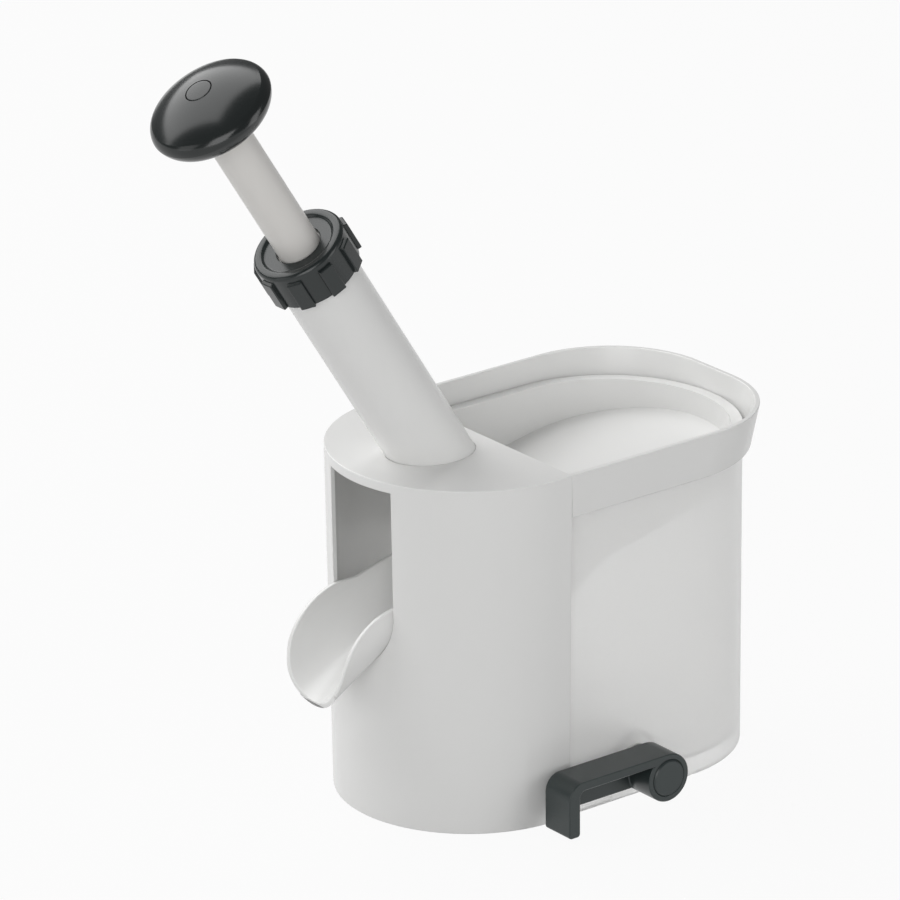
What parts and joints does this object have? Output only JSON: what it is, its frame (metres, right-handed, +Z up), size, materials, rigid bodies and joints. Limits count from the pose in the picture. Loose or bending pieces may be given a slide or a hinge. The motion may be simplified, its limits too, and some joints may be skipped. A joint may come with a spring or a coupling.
{
  "type": "cherry pitter",
  "caption": "Hand cherry pitter with an inclined sprung plunger, hopper, chute, clear stone container and a suction foot worked by a lever.",
  "frame": {"origin": "on the table plane, under the middle of the body's footprint between its two round ends", "axes": "+X from the chute to the hopper, +Y from the lever side to the back, +Z up"},
  "size_m": [0.2365, 0.116, 0.2822],
  "materials": {
    "clear_plastic": "frosted clear polypropylene",
    "white_plastic": "smooth white moulding",
    "rod_plastic": "smooth white tube",
    "black_plastic": "polished black",
    "lever_plastic": "satin charcoal",
    "grey_plastic": "plain moulding",
    "soft_ring": "soft silicone",
    "suction_rubber": "clear soft vinyl",
    "spring_steel": "bright wire",
    "shaft_steel": "turned",
    "blade_steel": "stainless sheet"
  },
  "bodies": {
    "base": {"stone_container": "clear_plastic", "shaft_bush": "grey_plastic", "suction_pad": "suction_rubber"},
    "housing": {"housing_shell": "white_plastic", "hopper_tub": "white_plastic", "chute": "white_plastic", "guide_tube": "white_plastic", "collar_nut": "black_plastic", "wiper_ring": "soft_ring", "guide_bush": "grey_plastic", "stripper_ring": "grey_plastic", "seat_ring": "soft_ring", "return_spring": "spring_steel"},
    "plunger": {"plunger_rod": "rod_plastic", "spring_collar": "grey_plastic", "blade_holder": "grey_plastic", "pitting_blade": "blade_steel", "knob": "black_plastic", "knob_plug": "black_plastic"},
    "lever": {"lever": "lever_plastic", "lever_cap": "lever_plastic", "lever_shaft": "shaft_steel", "shaft_clip": "spring_steel"},
    "stem": {"suction_stem": "grey_plastic"}
  },
  "joints": [
    {"name": "housing_lift", "type": "slide", "parent": "base", "child": "housing", "axis": [0, 0, 1], "range_m": [0, 0.13]},
    {"name": "plunger_push", "type": "slide", "parent": "housing", "child": "plunger", "axis": [0.5344, 0, -0.8453], "range_m": [0, 0.055], "stiffness_N_per_m": 250, "springref_m": -0.02, "deforming": ["return_spring"]},
    {"name": "lever_turn", "type": "hinge", "parent": "base", "child": "lever", "pos_m": [0.0046, 0, 0.0127], "axis": [0, 1, 0], "range_deg": [0, 110]},
    {"name": "suction_lift", "type": "slide", "parent": "base", "child": "stem", "axis": [0, 0, -1], "range_m": [0, 0.0027], "deforming": ["suction_pad"]}
  ],
  "couplings": [
    {"joint": "lever_turn", "follows": "suction_lift", "rad_per_m": 711}
  ]
}
